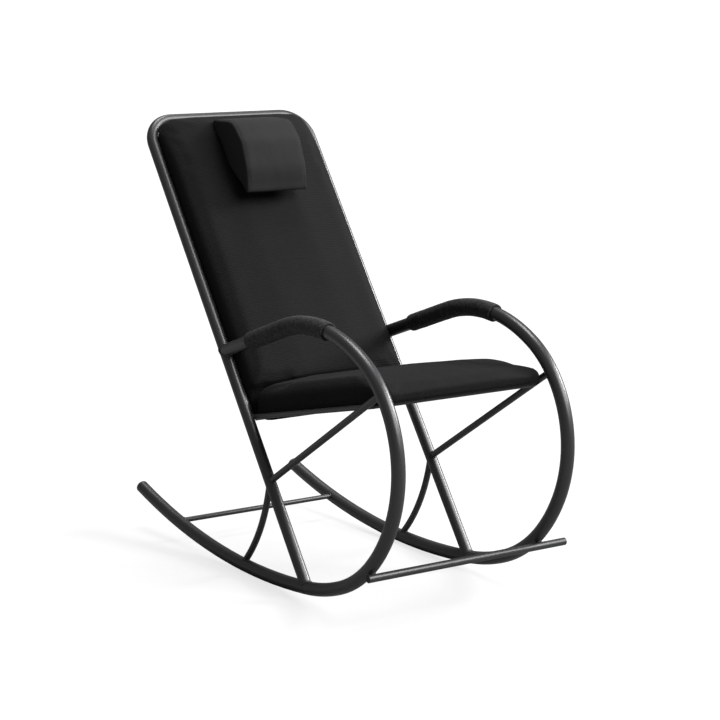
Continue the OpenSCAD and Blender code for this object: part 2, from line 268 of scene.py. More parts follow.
class Finish:
    """A material being made: one Principled shader and the nodes that feed it."""

    def __init__(self, name, constants):
        self.material = bpy.data.materials.new(name)
        self.material.use_nodes = True
        self.tree = self.material.node_tree
        self.shader = self.tree.nodes["Principled BSDF"]
        for socket, value in constants.items():
            self.shader.inputs[socket].default_value = value
        self.material.diffuse_color = constants["Base Color"]

    def node(self, kind, settings=None, inputs=None):
        """Adds a node: its settings first, then the values or links of its sockets."""
        node = self.tree.nodes.new(kind)
        for key, value in (settings or {}).items():
            setattr(node, key, value)
        for key, value in (inputs or {}).items():
            self.feed(node.inputs[key], value)
        return node

    def feed(self, socket, value):
        """Links a socket, or sets it where the value is a plain number or colour."""
        if isinstance(value, Value):
            value = value.socket
        if isinstance(value, bpy.types.NodeSocket):
            self.tree.links.new(value, socket)
        else:
            socket.default_value = value

    def maths(self, operation, *terms):
        node = self.node("ShaderNodeMath", {"operation": operation}, dict(enumerate(terms)))
        return Value(self, node.outputs[0])

    def object_place(self):
        return self.node("ShaderNodeTexCoord").outputs["Object"]

    def stretched(self, place, scale):
        """A place scaled by a different number along each axis."""
        inputs = {"Vector": place, "Scale": scale}
        return self.node("ShaderNodeMapping", {"vector_type": "POINT"}, inputs).outputs[0]

    def noise(self, place, scale, detail=2.0, roughness=0.5):
        inputs = {"Vector": place, "Scale": scale, "Detail": detail, "Roughness": roughness}
        return Value(self, self.node("ShaderNodeTexNoise", None, inputs).outputs[0])

    def cells(self, place, scale):
        """Distance from the middle of scattered cells."""
        inputs = {"Vector": place, "Scale": scale}
        return Value(self, self.node("ShaderNodeTexVoronoi", None, inputs).outputs["Distance"])

    def mix(self, share, low, high):
        """A colour between two, by a share from 0 to 1."""
        inputs = {0: share, 6: low, 7: high}
        settings = {"data_type": "RGBA", "clamp_factor": True}
        return self.node("ShaderNodeMix", settings, inputs).outputs[2]

    def bump(self, height, strength, distance, under=None):
        inputs = {"Height": height, "Strength": strength, "Distance": distance}
        if under is not None:
            inputs["Normal"] = under
        return self.node("ShaderNodeBump", None, inputs).outputs[0]

    def wear(self, colour=None, roughness=None, normal=None):
        """Feeds the shader what changes over the surface."""
        given = {"Base Color": colour, "Roughness": roughness, "Normal": normal}
        for socket, value in given.items():
            if value is not None:
                self.feed(self.shader.inputs[socket], value)
        return self.material


def shade(colour, factor):
    """A colour made darker or lighter."""
    return tuple(min(c * factor, 1.0) for c in colour[:3]) + (1.0,)


# Finishes ---------------------------------------


def powder_coat(settings):
    """Satin powder coat: a fine orange peel, cloudy gloss and a dusting of specks."""
    colour = settings.paint
    finish = Finish("powder_coat", {"Base Color": colour, "Specular IOR Level": 0.7})
    place = finish.object_place()
    peel = finish.noise(place, 620, 1.5)
    cloud = finish.noise(place, 7, 3)
    speck = finish.noise(place, 2100, 0)
    tone = cloud * 0.55 + speck.above(0.60) * 3.0
    gloss = settings.roughness + (cloud - 0.5) * 0.16 + (peel - 0.5) * 0.06
    relief = finish.bump(peel, 0.16, 0.0004)
    return finish.wear(finish.mix(tone, shade(colour, 0.82), shade(colour, 1.5)), gloss, relief)


def moulded_plastic():
    """Black end plugs with the fine grain of a spark-eroded mould."""
    colour = (0.016, 0.016, 0.017, 1)
    finish = Finish("moulded_plastic", {"Base Color": colour, "Specular IOR Level": 0.45})
    place = finish.object_place()
    grain = finish.noise(place, 1500, 3, 0.6)
    scuff = finish.noise(finish.stretched(place, (1, 1, 5)), 60, 4)
    tone = finish.mix(scuff, shade(colour, 0.8), shade(colour, 1.7))
    return finish.wear(tone, 0.42 + scuff * 0.2, finish.bump(grain, 0.25, 0.0002))


def sponge_foam(settings):
    """Foam with a sponge skin: open pores over softer lumps. Its colour is paler on the lumps and
    darker between them, painted light and shade that follows the lumps' bump, over a broad random
    tone.
    """
    colour = settings.colour
    constants = {"Base Color": colour, "Specular IOR Level": 0.25, "Sheen Weight": 0.05,
                 "Sheen Roughness": 0.6}
    finish = Finish("sponge_foam", constants)
    place = finish.object_place()
    pore = finish.cells(place, 1 / settings.pore)
    lump = finish.noise(place, 170, 4, 0.65)
    broad = finish.noise(place, 24, 2)
    pit = 1.0 - (0.42 - pore).above(0.0) * 1.8
    # Painted light and shade: the lumps' height, which also makes the bump, lightens their tops
    # and darkens the hollows; broad is random tone.
    lump_shading_and_tone = (lump - 0.5) * 4.0 + broad * 0.4 + 0.3
    tone = finish.mix(lump_shading_and_tone, shade(colour, 0.35), shade(colour, 3.4))
    relief = finish.bump(lump, 0.8, 0.0022)
    relief = finish.bump(pit, 0.35, 0.0007, relief)
    return finish.wear(tone, 0.72 + lump * 0.25, relief)


def ribbed_cloth(name, colour, rib, strength):
    """Woven cloth read from the piece's own map: ribs across V, yarns crossing them along U. Its
    colour is darker down in the rib valleys and yarn gaps and paler on the crests, painted shade
    that follows the bump's height, over a cloudy tone that varies at random.
    """
    constants = {"Base Color": colour, "Specular IOR Level": 0.12, "Sheen Weight": 0.02,
                 "Sheen Roughness": 0.45}
    finish = Finish(name, constants)
    laid = finish.node("ShaderNodeUVMap", {"uv_map": "cloth"}).outputs[0]
    apart = finish.node("ShaderNodeSeparateXYZ", None, {0: laid})
    across = Value(finish, apart.outputs[0])
    along = Value(finish, apart.outputs[1])
    place = finish.object_place()
    drift = (finish.noise(place, 35, 2) - 0.5) * (rib * 0.4)
    course = (along + drift) / rib
    ridge = (course * (2 * math.pi)).sine() * 0.5 + 0.5
    pitch = rib * 0.25
    row = along / pitch
    pick = (row * (2 * math.pi)).sine() * 0.5 + 0.5
    yarn = ((across / pitch + row.floor() * 0.5) * (2 * math.pi)).sine() * 0.5 + 0.5
    fuzz = finish.noise(place, 1900, 2, 0.7)
    cloud = finish.noise(place, 9, 3)
    thread = pick * 0.5 + yarn * 0.35 + fuzz * 0.15
    # Painted shade: ridge and thread darken the colour where the cloth's relief is low and pale
    # it on the crests; the cloud is random tone.
    tone = ridge * 0.45 + thread * 0.35 + cloud * 0.45 - 0.12
    relief = finish.bump(ridge, strength, 0.0009)
    relief = finish.bump(thread, strength, 0.0004, relief)
    dark, pale = shade(colour, 0.55), shade(colour, 1.55)
    return finish.wear(finish.mix(tone, dark, pale), 0.70 + fuzz * 0.22, relief)


def zinc_plate():
    """Bright zinc with fine turning marks and a slight yellow bloom."""
    colour = (0.55, 0.56, 0.58, 1)
    finish = Finish("zinc_plate", {"Base Color": colour, "Metallic": 1.0})
    place = finish.object_place()
    bloom = finish.noise(place, 180, 3)
    mark = finish.noise(finish.stretched(place, (1, 1, 12)), 700, 2)
    tone = finish.mix(bloom, shade(colour, 0.7), (0.62, 0.60, 0.52, 1))
    return finish.wear(tone, 0.24 + bloom * 0.22, finish.bump(mark, 0.2, 0.0001))


def stained_plywood():
    """Black-stained plywood: long grain that shows through the stain, and open pores."""
    colour = (0.030, 0.026, 0.023, 1)
    finish = Finish("stained_plywood", {"Base Color": colour, "Specular IOR Level": 0.35})
    place = finish.object_place()
    warp = finish.noise(place, 3, 2)
    grain = finish.noise(finish.stretched(place, (26, 2, 2)), 7, 5, 0.65)
    ring = ((grain * 5.0 + warp * 3.0) * (2 * math.pi)).sine() * 0.5 + 0.5
    pore = finish.noise(finish.stretched(place, (900, 40, 40)), 1, 2).above(0.58)
    tone = finish.mix(ring * 0.7 + grain * 0.4 - pore * 2, shade(colour, 0.6), shade(colour, 2.3))
    relief = finish.bump(grain - pore * 2, 0.3, 0.0005)
    return finish.wear(tone, 0.66 + ring * 0.16, relief)


def sewing_thread(colour):
    """Twisted polyester thread."""
    finish = Finish("sewing_thread", {"Base Color": colour, "Specular IOR Level": 0.2})
    place = finish.object_place()
    twist = finish.noise(place, 2400, 1)
    tone = finish.mix(twist, shade(colour, 0.7), shade(colour, 1.6))
    return finish.wear(tone, 0.6 + twist * 0.2, finish.bump(twist, 0.4, 0.0002))


def studio_floor(settings):
    """Seamless paper on a lit table, a little mottled. Its glow is seen only directly, so
    that it throws no light up at the chair."""
    constants = {"Base Color": settings.floor, "Specular IOR Level": 0.0,
                 "Emission Strength": 1.0}
    finish = Finish("studio_paper", constants)
    seen = finish.node("ShaderNodeLightPath").outputs["Is Camera Ray"]
    glow = finish.mix(seen, (0, 0, 0, 1), settings.glow)
    finish.feed(finish.shader.inputs["Emission Color"], glow)
    mottle = finish.noise(finish.object_place(), 1.2, 2)
    tone = finish.mix(mottle, shade(settings.floor, 0.98), shade(settings.floor, 1.02))
    return finish.wear(tone, 0.86 + mottle * 0.1)


def finished(name, make, *args):
    """A finish by its name, made once."""
    return bpy.data.materials.get(name) or make(*args)


# Meshes -----------------------------------------


def add_object(name, mesh, material=None, slot=None):
    """A new piece at the origin, with its material. Given a slot, it hangs under the root body.
    """
    piece = bpy.data.objects.new(name, mesh)
    bpy.context.scene.collection.objects.link(piece)
    mesh.name = name
    if material is not None:
        mesh.materials.append(material)
    if slot is not None:
        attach(piece, "root")
    return piece


def from_bmesh(name, bm, material=None, slot=None):
    """Writes a bmesh out as a new piece."""
    mesh = bpy.data.meshes.new(name)
    bm.to_mesh(mesh)
    bm.free()
    mesh.shade_smooth()
    return add_object(name, mesh, material, slot)


def settle(piece):
    """Makes a piece's modifiers part of its mesh."""
    graph = bpy.context.evaluated_depsgraph_get()
    mesh = bpy.data.meshes.new_from_object(piece.evaluated_get(graph))
    piece.modifiers.clear()
    old = piece.data
    piece.data = mesh
    bpy.data.meshes.remove(old)
    mesh.name = piece.name


def soft_copy(node, name, voxel, rounds, closed=False):
    """A CAD solid's shape as an even skin of small faces, with its edges softened. Closed
    takes only its outer skin, as if it were solid."""
    bm = bmesh.new()
    bm.from_mesh(nodes[node].data)
    bmesh.ops.remove_doubles(bm, verts=bm.verts, dist=0.00001)
    if closed:
        bmesh.ops.delete(bm, geom=bm.edges[:] + bm.faces[:], context="EDGES_FACES")
        skin = bmesh.ops.convex_hull(bm, input=bm.verts[:])
        spare = {g for g in skin["geom_interior"] + skin["geom_unused"]
                 if isinstance(g, bmesh.types.BMVert)}
        bmesh.ops.delete(bm, geom=list(spare), context="VERTS")
    mesh = bpy.data.meshes.new(name)
    bm.to_mesh(mesh)
    bm.free()
    piece = add_object(name, mesh)
    even = piece.modifiers.new("even", "REMESH")
    even.mode = "VOXEL"
    even.voxel_size = voxel
    settle(piece)
    soften(piece, rounds)
    return piece


def soften(piece, rounds):
    """Evens out a skin, one round at a time."""
    bm = bmesh.new()
    bm.from_mesh(piece.data)
    for _ in range(rounds):
        bmesh.ops.smooth_vert(
            bm, verts=bm.verts, factor=0.5, use_axis_x=True, use_axis_y=True, use_axis_z=True)
    bm.to_mesh(piece.data)
    bm.free()


def points_of(mesh, key="co"):
    """The places of a mesh's vertices, or with key "normal" their normals."""
    values = np.empty(len(mesh.vertices) * 3)
    mesh.vertices.foreach_get(key, values)
    return values.reshape(-1, 3)


def put_points(mesh, points):
    mesh.vertices.foreach_set("co", points.ravel())
    mesh.update()


def moved(points, matrix):
    """Points carried through a matrix."""
    m = np.array(matrix)
    return points @ m[:3, :3].T + m[:3, 3]


def own_points(piece, place):
    """A piece's points in a cushion's own axes."""
    return moved(points_of(piece.data), place.inverted())


def put_own_points(piece, place, own):
    """Sets a piece's points from places in a cushion's own axes."""
    put_points(piece.data, moved(own, place))


def smooth_step(x, low, high):
    """0 up to low and 1 from high on, with a smooth rise between."""
    t = np.clip((x - low) / (high - low), 0, 1)
    return t * t * (3 - 2 * t)


def add_up(bm, part):
    """Adds one bmesh to another and frees it."""
    mesh = bpy.data.meshes.new("part")
    part.to_mesh(mesh)
    part.free()
    bm.from_mesh(mesh)
    bpy.data.meshes.remove(mesh)


# Cushions ---------------------------------------


def swell(piece, place, flat, reach):
    """Blows a cushion up as cloth, held where it lies lower than flat in its own axes. No
    point ends further than reach from where it was: across, along and out."""
    last = 20
    own = own_points(piece, place)
    group = piece.vertex_groups.new(name="held")
    group.add([int(i) for i in np.nonzero(own[:, 2] < flat)[0]], 1.0, "REPLACE")
    cloth = piece.modifiers.new("cloth", "CLOTH")
    cloth.settings.quality = 4
    cloth.settings.tension_stiffness = 12
    cloth.settings.compression_stiffness = 12
    cloth.settings.shear_stiffness = 5
    cloth.settings.bending_stiffness = 1.5
    cloth.settings.use_pressure = True
    cloth.settings.uniform_pressure_force = 4.0
    cloth.settings.effector_weights.gravity = 0
    cloth.settings.vertex_group_mass = group.name
    cloth.collision_settings.use_collision = False
    cloth.point_cache.frame_start = 1
    cloth.point_cache.frame_end = last
    scene = bpy.context.scene
    for number in range(1, last + 1):
        scene.frame_set(number)
    graph = bpy.context.evaluated_depsgraph_get()
    blown = points_of(piece.evaluated_get(graph).data)
    piece.modifiers.clear()
    piece.vertex_groups.clear()
    scene.frame_set(1)
    shift = moved(blown, place.inverted()) - own
    limit = np.array(reach)
    put_own_points(piece, place, own + limit * np.tanh(shift / limit))


def push_out(piece, depth):
    """Moves each point along its normal by a depth."""
    mesh = piece.data
    put_points(mesh, points_of(mesh) + points_of(mesh, "normal") * depth[:, None])


def uneven(points, layers):
    """Smooth noise over points, about 0, summed over layers of scales, seed and height."""
    total = np.zeros(len(points))
    for scales, seed, height in layers:
        scaled = points * np.array(scales) + seed
        total += np.array([noise.noise(Vector(p)) for p in scaled]) * height
    return total


def fold_over(out, height, edge, side, radius):
    """How far a cloth has travelled from the middle of a cushion to a point: over its face
    as far as edge, round the rounded edge, and down its side."""
    flat, foot = edge - radius, side - radius
    bend = radius * np.arctan2(np.maximum(out - flat, 0), np.maximum(height - foot, 1e-6))
    down = np.maximum(foot - height, 0)
    return np.where(out <= flat, out, flat + bend + down)


def lay_cloth(piece, place, box, side, radius, ribs_across):
    """Writes the piece's cloth map in metres: U over its width and V along it, or the two
    swapped where the ribs run lengthways."""
    own = own_points(piece, place)
    low, high = box
    middle = (low + high) / 2
    half = (high - low) / 2
    laid = []
    for axis in (0, 1) if ribs_across else (1, 0):
        out = own[:, axis] - middle[axis]
        laid.append(fold_over(abs(out), own[:, 2], half[axis], side, radius) * np.sign(out))
    pair = np.stack(laid, axis=1)
    mesh = piece.data
    corner = np.empty(len(mesh.loops), dtype=np.int32)
    mesh.loops.foreach_get("vertex_index", corner)
    layer = mesh.uv_layers.new(name="cloth")
    layer.data.foreach_set("uv", pair[corner].ravel())


def own_box(node, place):
    """A CAD node's lowest and highest corners in a cushion's own axes."""
    own = own_points(nodes[node], place)
    return own.min(axis=0), own.max(axis=0)


def seam_line(piece, place, at, across):
    """The line that a plane cuts round a piece, as points in order, and the piece's skin as
    a tree to find normals on."""
    bm = bmesh.new()
    bm.from_mesh(piece.data)
    tree = BVHTree.FromBMesh(bm)
    plane = place @ Vector(at)
    normal = place.to_3x3() @ Vector(across)
    cut = bmesh.ops.bisect_plane(
        bm, geom=bm.verts[:] + bm.edges[:] + bm.faces[:], plane_co=plane, plane_no=normal)
    verts = [g for g in cut["geom_cut"] if isinstance(g, bmesh.types.BMVert)]
    left = set(verts)
    lines = []
    for first in verts:
        line = []
        near = [first] if first in left else []
        while near:
            left.remove(near[0])
            line.append(near[0])
            near = [e.other_vert(line[-1]) for e in line[-1].link_edges]
            near = [v for v in near if v in left]
        lines.append([v.co.copy() for v in line])
    bm.free()
    longest = max(lines, key=len)
    return longest + longest[:1], tree


def sew(bm, line, tree, stitch, gap):
    """Adds stitches to a bmesh: small spindles end to end along a line on a skin."""
    step = stitch + gap
    travelled = step / 2
    for a, b in zip(line, line[1:]):
        way = b - a
        length = way.length
        if length < 1e-7:
            continue
        while travelled < length:
            centre = a + way * (travelled / length)
            spot, up = tree.find_nearest(centre)[:2]
            turn = Matrix((way.normalized(), up.cross(way).normalized(), up)).transposed()
            size = Matrix.Diagonal((stitch / 2, 0.00045, 0.00038, 1))
            matrix = Matrix.Translation(spot + up * THREAD_LIFT) @ turn.to_4x4() @ size
            bmesh.ops.create_icosphere(bm, subdivisions=1, radius=1, matrix=matrix)
            travelled += step
        travelled -= length


def groove(piece, place, axis, level, width, depth):
    """Draws the cloth in along a seam, where one of its own coordinates is near a level."""
    own = own_points(piece, place)
    near = np.exp(-(((own[:, axis] - level) / width) ** 2))
    push_out(piece, -depth * near)


def hang_over(piece, place, high, drop):
    """Lets a cushion's lower rim hang past its board, outside the board's edge. High is the
    highest corner of the cushion's box."""
    own = own_points(piece, place)
    rim = smooth_step(abs(own[:, 0]), high[0] - 0.009, high[0] - 0.005)
    front = smooth_step(own[:, 1], high[1] - 0.060, high[1] - 0.040)
    rim = np.maximum(rim, 0.5 * front) * (1 - smooth_step(own[:, 2], 0.002, 0.036))
    own[:, 2] -= drop * rim
    own[:, 0] *= 1 + 0.006 * rim
    put_own_points(piece, place, own)


def pocket(piece, place, board):
    """Draws the underside in over a board, so that the board lies bare below it."""
    own = own_points(piece, place)
    low, high = board
    slack = 0.001
    inside = np.all((own[:, :2] > low[:2] - slack) & (own[:, :2] < high[:2] + slack), axis=1)
    under = inside & (own[:, 2] < high[2] - slack)
    own[under, 2] = high[2] + 0.0006
    put_own_points(piece, place, own)


def outline(own, corner, radius):
    """The way out of an upright shape with rounded top corners, and how far outside of it
    each point lies: negative within."""
    half, top = corner[0] - radius, corner[1] - radius
    side = np.maximum(abs(own[:, 0]) - half, 0)
    above = np.maximum(own[:, 1] - top, 0)
    far = np.hypot(side, above)
    inner = np.maximum(abs(own[:, 0]) - half, own[:, 1] - top)
    flat = far < 1e-9
    safe = np.where(flat, 1, far)
    way = np.stack((np.sign(own[:, 0]) * side / safe, above / safe), axis=1)
    return way, np.where(flat, inner, far) - radius


def upholster(piece, place, box, side, radius, ribs_across, material):
    """One round of subdivision, then the cloth map, the material and its place under the root
    body.
    """
    finer = piece.modifiers.new("finer", "SUBSURF")
    finer.levels = 1
    finer.render_levels = 1
    settle(piece)
    piece.data.shade_smooth()
    lay_cloth(piece, place, box, side, radius, ribs_across)
    piece.data.materials.clear()
    piece.data.materials.append(material)
    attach(piece, "root")


def stitch_piece(name, seams, stitch, gap):
    """Sews along the seams. The thread of one cushion is one piece."""
    bm = bmesh.new()
    for line, tree in seams:
        sew(bm, line, tree, stitch, gap)
    thread = finished("sewing_thread", sewing_thread, THREAD_COLOUR)
    from_bmesh(name, bm, thread, "mesh_cloth")


class CHAIR_OT_seat_cushion(bpy.types.Operator):
    """Pads the seat: a crowned cushion that rolls down at its front, ribbed lengthways"""

    bl_idname = "chair.seat_cushion"
    bl_label = "Seat cushion"

    def execute(self, context):
        settings = context.scene.chair_cushions
        box = own_box("seat_cover", SEAT_PAD)
        piece = soft_copy("seat_cover", "seat_cushion", 0.0058, 3, closed=True)
        reach = (0.0015, 0.0030, settings.swell)
        swell(piece, SEAT_PAD, 0.006, reach)
        soften(piece, 2)
        own = own_points(piece, SEAT_PAD)
        nose = np.clip((own[:, 1] - 0.42) / 0.15, 0, 1) ** 2
        push_out(piece, uneven(own, SEAT_STREAKS) * smooth_step(own[:, 2], 0.012, 0.035))
        own = own_points(piece, SEAT_PAD)
        own[:, 1] += 0.006 * nose
        own[:, 2] *= 1 - 0.20 * nose
        put_own_points(piece, SEAT_PAD, own)
        hang_over(piece, SEAT_PAD, box[1], 0.0120)
        pocket(piece, SEAT_PAD, own_box("seat_board", SEAT_PAD))
        groove(piece, SEAT_PAD, 2, SEAT_SEAM, SEAM_WIDTH, SEAM_DEPTH)
        cloth = finished(
            "seat_cloth", ribbed_cloth, "seat_cloth", settings.cloth, settings.rib, 0.42)
        seam = seam_line(piece, SEAT_PAD, (0, 0, SEAT_SEAM), (0, 0, 1))
        upholster(piece, SEAT_PAD, box, 0.060, 0.026, False, cloth)
        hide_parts("seat_cover", "seat_foam")
        stitch_piece("seat_stitching", [seam], settings.stitch, STITCH_GAP)
        return {"FINISHED"}


class CHAIR_OT_back_cushion(bpy.types.Operator):
    """Pads the back: one tall crowned cushion that fills the frame, ribbed across"""

    bl_idname = "chair.back_cushion"
    bl_label = "Back cushion"

    def execute(self, context):
        settings = context.scene.chair_cushions
        box = own_box("back_cover", BACK_PAD)
        piece = soft_copy("back_foam", "back_cushion", 0.0075, 3)
        push_out(piece, np.full(len(piece.data.vertices), 0.0012))
        reach = (0.0012, 0.0012, settings.swell * 0.7)
        swell(piece, BACK_PAD, 0.009, reach)
        soften(piece, 2)
        own = own_points(piece, BACK_PAD)
        push_out(piece, uneven(own, BACK_LUMPS) * smooth_step(own[:, 2], 0.020, 0.050))
        self.fill_frame(piece, box)
        groove(piece, BACK_PAD, 2, BACK_SEAM, SEAM_WIDTH, SEAM_DEPTH)
        cloth = finished(
            "back_cloth", ribbed_cloth, "back_cloth", settings.cloth, settings.rib, 0.42)
        seam = seam_line(piece, BACK_PAD, (0, 0, BACK_SEAM), (0, 0, 1))
        upholster(piece, BACK_PAD, box, 0.068, 0.032, True, cloth)
        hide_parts("back_cover", "back_foam")
        stitch_piece("back_stitching", [seam], settings.stitch, STITCH_GAP)
        return {"FINISHED"}

    def fill_frame(self, piece, box):
        """Spreads the cushion's sides and top until they lie against the tubes, and rolls
        its front down towards the top tube."""
        own = own_points(piece, BACK_PAD)
        lift = own[:, 2] - BACK_REAR
        tube = np.sqrt(np.maximum(UPRIGHT_R ** 2 - lift ** 2, 0.0))
        tube = np.where(lift > 0, np.maximum(tube, UPRIGHT_R - 0.0025), tube)
        edge = (abs(own[:, 0]).max(), own[:, 1].max())
        way, outside = outline(own, edge, BACK_CORNER_R)
        room = outline(own, FRAME_REACH, FRAME_CORNER_R)[1] + tube
        share = smooth_step(outside, -0.110, -0.010)
        shift = np.clip(outside - room - 0.0002, -0.010, 0.016) * share
        own[:, :2] += way * shift[:, None]
        roll = smooth_step(own[:, 1], box[1][1] - 0.085, box[1][1])
        corner = smooth_step(abs(own[:, 0]), 0.12, 0.21) * smooth_step(own[:, 1], 0.70, 0.82)
        own[:, 2] -= (0.006 * roll + 0.012 * corner) * smooth_step(own[:, 2], 0.020, 0.060)
        over = own[:, 1] + TOP_LINE_SLOPE * own[:, 2] - TOP_LINE_LEVEL
        ease = 0.003
        over = ease * np.log1p(np.exp(np.clip(over / ease, -30, 30)))
        own[:, 1] -= over * 0.84
        own[:, 2] -= over * 0.36
        put_own_points(piece, BACK_PAD, own)


class CHAIR_OT_headrest(bpy.types.Operator):
    """Pads the headrest: a full pillow with flat sewn sides, drawn in at its lower corners"""

    bl_idname = "chair.headrest"
    bl_label = "Headrest"

    def execute(self, context):
        settings = context.scene.chair_cushions
        low, high = own_box("headrest_cover", BACK_PAD)
        piece = soft_copy("headrest_cover", "headrest_pillow", 0.0034, 2, closed=True)
        crisp = own_points(piece, BACK_PAD)
        soften(piece, 24)
        own = own_points(piece, BACK_PAD)
        share = smooth_step(crisp[:, 1], low[1] + 0.010, low[1] + 0.040)
        share = share * smooth_step(crisp[:, 2], low[2] + 0.012, low[2] + 0.030)
        own[:, 0] = crisp[:, 0]
        own = crisp + (own - crisp) * share[:, None]
        own[:, 2] += 0.0025 * share
        put_own_points(piece, BACK_PAD, own)
        middle = 1 - (own[:, 0] / high[0]) ** 2
        body = np.sin(math.pi * np.clip((own[:, 1] - low[1]) / (high[1] - low[1]), 0, 1))
        front = smooth_step(own[:, 2], low[2] + 0.01, low[2] + 0.04)
        push_out(piece, (uneven(own, PILLOW_TUCKS) + 0.0015 * middle * body) * front)
        own = own_points(piece, BACK_PAD)
        top = smooth_step(own[:, 1], high[1] - 0.070, high[1])
        own[:, 1] += 0.006 * top
        own[:, 2] -= 0.010 * top
        put_own_points(piece, BACK_PAD, own)
        edge = high[0] - 0.007
        for side in (-edge, edge):
            groove(piece, BACK_PAD, 0, side, 0.0022, 0.0007)
        cloth = finished("pillow_cloth", ribbed_cloth, "pillow_cloth", settings.pillow,
                         settings.rib * 0.3, 0.15)
        seams = [seam_line(piece, BACK_PAD, (side, 0, 0), (1, 0, 0)) for side in (-edge, edge)]
        upholster(piece, BACK_PAD, (low, high), high[2], 0.014, True, cloth)
        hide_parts("headrest_cover", "headrest_foam")
        stitch_piece("headrest_stitching", seams, settings.stitch * 0.8, 0.0014)
        return {"FINISHED"}


class CHAIR_OT_arm_grips(bpy.types.Operator):
    """Sleeves the arms with foam that is soft at its ends and a little uneven"""

    bl_idname = "chair.arm_grips"
    bl_label = "Arm grips"

    def execute(self, context):
        settings = context.scene.chair_grips
        foam = finished("sponge_foam", sponge_foam, settings)
        for side in ("right", "left"):
            piece = soft_copy(f"arm_grip_{side}", f"foam_grip_{side}", 0.0022, 3)
            push_out(piece, 0.0003 + uneven(points_of(piece.data), GRIP_LUMPS))
            piece.data.shade_smooth()
            piece.data.materials.clear()
            piece.data.materials.append(foam)
            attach(piece, "root")
            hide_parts(f"arm_grip_{side}")
        return {"FINISHED"}


# The board's side of the cushions ---------------


def hem_band(name, place, width, length, start, corner, material):
    """The cover's edge turned over the board: a thin rippled band round its underside."""
    bm = bmesh.new()
    bmesh.ops.create_grid(bm, x_segments=1, y_segments=1, size=0.5)
    bmesh.ops.scale(bm, vec=(width, length, 1), verts=bm.verts)
    if corner:
        bmesh.ops.bevel(
            bm, geom=bm.verts[:], offset=corner, segments=6, affect="VERTICES", profile=0.5,
            material=-1)
    middle = bm.faces[:]
    bmesh.ops.inset_region(
        bm, faces=middle, thickness=HEM_WIDTH, use_boundary=True, use_even_offset=True)
    bmesh.ops.delete(bm, geom=middle, context="FACES")
    long_edges = [e for e in bm.edges if e.calc_length() > 0.15]
    bmesh.ops.subdivide_edges(bm, edges=long_edges, cuts=60, use_grid_fill=True)
    cross = [e for e in bm.edges if 0.5 * HEM_WIDTH < e.calc_length() < 1.8 * HEM_WIDTH]
    bmesh.ops.subdivide_edges(bm, edges=cross, cuts=3, use_grid_fill=True)
    for vert in bm.verts:
        vert.co.z = noise.noise(vert.co * 55) * 0.00035 + noise.noise(vert.co * 170) * 0.00015
    bmesh.ops.solidify(bm, geom=bm.faces[:], thickness=HEM_THICK)
    low = min(v.co.z for v in bm.verts)
    bmesh.ops.translate(bm, vec=(0, 0, -low + HEM_UNDERSIDE), verts=bm.verts)
    middle_at = Matrix.Translation((0, start + length / 2, 0))
    bmesh.ops.transform(bm, matrix=place @ middle_at, verts=bm.verts)
    bmesh.ops.recalc_face_normals(bm, faces=bm.faces)
    piece = from_bmesh(name, bm, material, "mesh_cloth")
    box = np.array(((-width / 2, start, 0), (width / 2, start + length, 1)))
    lay_cloth(piece, place, box, 0.5, 0.001, True)


def staple_row(bm, place, a, b, rng):
    """Adds the evenly spaced staples between two corners of a hem."""
    a, b = Vector(a), Vector(b)
    way = b - a
    count = max(2, round(way.length / STAPLE_APART))
    for k in range(count):
        spot = a + way * ((k + 0.5) / count)
        turn = math.atan2(way.y, way.x) + rng.uniform(-0.14, 0.14)
        local = Matrix.Translation((spot.x, spot.y, HEM_UNDERSIDE))
        local = local @ Matrix.Rotation(turn, 4, "Z")
        part = bmesh.new()
        bmesh.ops.create_cube(part, size=1, matrix=Matrix.Diagonal(STAPLE + (1,)))
        bmesh.ops.bevel(part, geom=part.edges[:], offset=0.0002, segments=2, affect="EDGES",
                        profile=0.5, material=-1)
        bmesh.ops.transform(part, matrix=place @ local, verts=part.verts)
        add_up(bm, part)


class CHAIR_OT_board_side(bpy.types.Operator):
    """Turns the covers over their boards and staples them, under the seat and behind the back"""

    bl_idname = "chair.board_side"
    bl_label = "Hems and staples"

    def execute(self, context):
        cushions = context.scene.chair_cushions
        cloth = finished(
            "hem_cloth", ribbed_cloth, "hem_cloth", cushions.cloth, cushions.rib, 0.4)
        steel = finished("zinc_plate", zinc_plate)
        rng = random.Random(7)
        boards = (
            ("seat", SEAT_PAD, own_box("seat_board", SEAT_PAD), 0),
            ("back", BACK_PAD, own_box("back_board", BACK_PAD), BACK_HEM_CORNER),
        )
        for name, place, (low, high), corner in boards:
            width = high[0] - low[0] + 2 * HEM_PAST_BOARD
            length = high[1] - low[1] + 2 * HEM_PAST_BOARD
            start = low[1] - HEM_PAST_BOARD
            hem_band(f"{name}_hem", place, width, length, start, corner, cloth)
            edge = width / 2 - HEM_WIDTH / 2
            near, far = start + HEM_WIDTH / 2, start + length - HEM_WIDTH / 2
            gap = max(corner - 0.010, 0.010)
            rows = (
                ((-edge + gap, near), (edge - gap, near)),
                ((edge, near + gap), (edge, far - gap)),
                ((edge - gap, far), (-edge + gap, far)),
                ((-edge, far - gap), (-edge, near + gap)),
            )
            bm = bmesh.new()
            for a, b in rows:
                staple_row(bm, place, a, b, rng)
            from_bmesh(f"{name}_staples", bm, steel, "zinc_screw")
        return {"FINISHED"}


# Frame ------------------------------------------


def paint_node(name, material):
    """Gives a CAD node its finish."""
    piece = nodes[name]
    if piece.material_slots:
        for slot in piece.material_slots:
            slot.material = material
    else:
        piece.data.materials.append(material)


